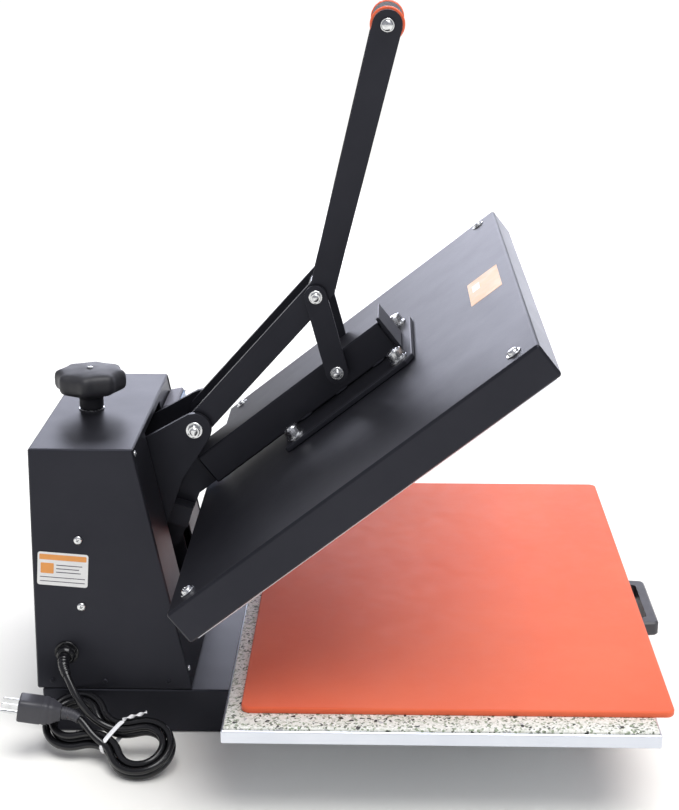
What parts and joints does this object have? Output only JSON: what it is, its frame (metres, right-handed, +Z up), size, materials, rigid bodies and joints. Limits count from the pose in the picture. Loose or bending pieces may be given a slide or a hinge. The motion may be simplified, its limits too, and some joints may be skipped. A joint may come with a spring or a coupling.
{
  "type": "tabletop heat transfer press",
  "caption": "Clamshell heat-transfer press with toggle lever, pressure knob, pull-out lower bed with silicone pad, control panel and tied mains lead.",
  "frame": {"origin": "centre of the base's underside, on the bench", "axes": "+X to the front, where the bed pulls out; +Y to the operator's right; +Z up"},
  "size_m": [0.6731, 0.636, 0.7218],
  "materials": {
    "black_paint": "satin black powder coat",
    "grey_paint": "satin grey powder coat",
    "zinc": "bright zinc plate",
    "aluminium": "mill finish",
    "speckled": "speckled composite board",
    "silicone": "matte silicone",
    "felt": "woven glass felt",
    "dark_plastic": "moulded, fine texture",
    "light_plastic": "moulded",
    "red_plastic": "gloss moulded",
    "knob_plastic": "gloss phenolic",
    "grip_rubber": "foam rubber",
    "blue_film": "printed film",
    "dark_glass": "smoked window",
    "board_green": "solder mask",
    "cord_rubber": "black flexible sheath",
    "plug_plastic": "moulded",
    "tie_white": "soft plastic"
  },
  "bodies": {
    "base": {"base_frame": "black_paint", "base_plate": "black_paint", "column_housing": "black_paint", "front_panel": "black_paint", "rear_cover": "black_paint", "side_plate_near": "black_paint", "side_plate_far": "black_paint", "frame_top_plate": "black_paint", "hinge_shaft": "zinc", "platen_stop_rod": "zinc", "spring_anchor_rod": "zinc", "lift_spring_near": "zinc", "lift_spring_far": "zinc", "rail_outer_near": "zinc", "rail_outer_far": "zinc", "control_box": "grey_paint", "control_membrane": "blue_film", "display_window": "dark_glass", "circuit_board": "board_green", "solid_state_relay": "dark_plastic", "cable_gland": "cord_rubber", "strain_relief": "cord_rubber", "power_cord": "cord_rubber", "plug_lead": "cord_rubber", "cord_hank": "cord_rubber", "cord_tie": "tie_white", "plug": "plug_plastic"},
    "platen": {"platen_cover": "black_paint", "heater_plate": "aluminium", "insulation_blanket": "felt", "mounting_plate": "black_paint", "mounting_bolt_1": "zinc", "mounting_bolt_2": "zinc", "mounting_bolt_3": "zinc", "mounting_bolt_4": "zinc", "platen_arm": "black_paint", "arm_end_plate": "black_paint", "arm_neck": "black_paint"},
    "pressure_fork": {"pressure_bracket": "black_paint", "lever_pin": "zinc"},
    "lever": {"lever_bar_near": "black_paint", "lever_bar_far": "black_paint", "toggle_pin": "zinc", "handle_grip": "grip_rubber", "grip_rod": "zinc"},
    "links": {"link_near": "black_paint", "link_far": "black_paint", "link_pin": "zinc"},
    "knob": {"pressure_knob": "knob_plastic", "pressure_screw": "zinc"},
    "bed": {"bed_tray": "aluminium", "bed_board": "speckled", "silicone_pad": "silicone", "bed_handle": "dark_plastic", "rail_inner_near": "zinc", "rail_inner_far": "zinc"},
    "button_down": {"button_down": "light_plastic"},
    "button_set": {"button_set": "light_plastic"},
    "button_up": {"button_up": "light_plastic"},
    "rocker": {"power_switch": "red_plastic"}
  },
  "joints": [
    {"name": "platen_close", "type": "hinge", "parent": "base", "child": "platen", "pos_m": [-0.219, 0, 0.13644], "axis": [0, 1, 0], "range_deg": [0, 38.06], "stiffness_Nm_per_rad": 30, "springref_deg": -91.67, "deforming": ["lift_spring_near", "lift_spring_far"]},
    {"name": "lever_swing", "type": "hinge", "parent": "pressure_fork", "child": "lever", "pos_m": [-0.1364, 0, 0.2992], "axis": [0, 1, 0], "range_deg": [0, 72.84]},
    {"name": "link_turn", "type": "hinge", "parent": "platen", "child": "links", "pos_m": [0.0104, 0, 0.3604], "axis": [0, -1, 0], "range_deg": [0, 75.86]},
    {"name": "pressure_travel", "type": "slide", "parent": "base", "child": "pressure_fork", "axis": [0, 0, 1], "range_m": [-0.00263, 0.00263]},
    {"name": "pressure_knob_turn", "type": "hinge", "parent": "base", "child": "knob", "pos_m": [-0.2498, 0, 0.3075], "axis": [0, 0, 1], "range_deg": [-540.1, 540.1]},
    {"name": "bed_pull", "type": "slide", "parent": "base", "child": "bed", "axis": [1, 0, 0], "range_m": [0, 0.25]},
    {"name": "button_down_press", "type": "slide", "parent": "base", "child": "button_down", "axis": [-0.9805, 0, -0.1963], "range_m": [0, 0.0015], "stiffness_N_per_m": 400, "springref_m": -0.001},
    {"name": "button_set_press", "type": "slide", "parent": "base", "child": "button_set", "axis": [-0.9805, 0, -0.1963], "range_m": [0, 0.0015], "stiffness_N_per_m": 400, "springref_m": -0.001},
    {"name": "button_up_press", "type": "slide", "parent": "base", "child": "button_up", "axis": [-0.9805, 0, -0.1963], "range_m": [0, 0.0015], "stiffness_N_per_m": 400, "springref_m": -0.001},
    {"name": "power_rocker", "type": "hinge", "parent": "base", "child": "rocker", "pos_m": [-0.15619, 0.094, 0.21984], "axis": [0, 1, 0], "range_deg": [-12, 0]}
  ],
  "couplings": [
    {"joint": "lever_swing", "follows": "platen_close", "ratio": 1.9136},
    {"joint": "link_turn", "follows": "platen_close", "ratio": 1.993},
    {"joint": "pressure_knob_turn", "follows": "pressure_travel", "rad_per_m": -3590.4}
  ]
}
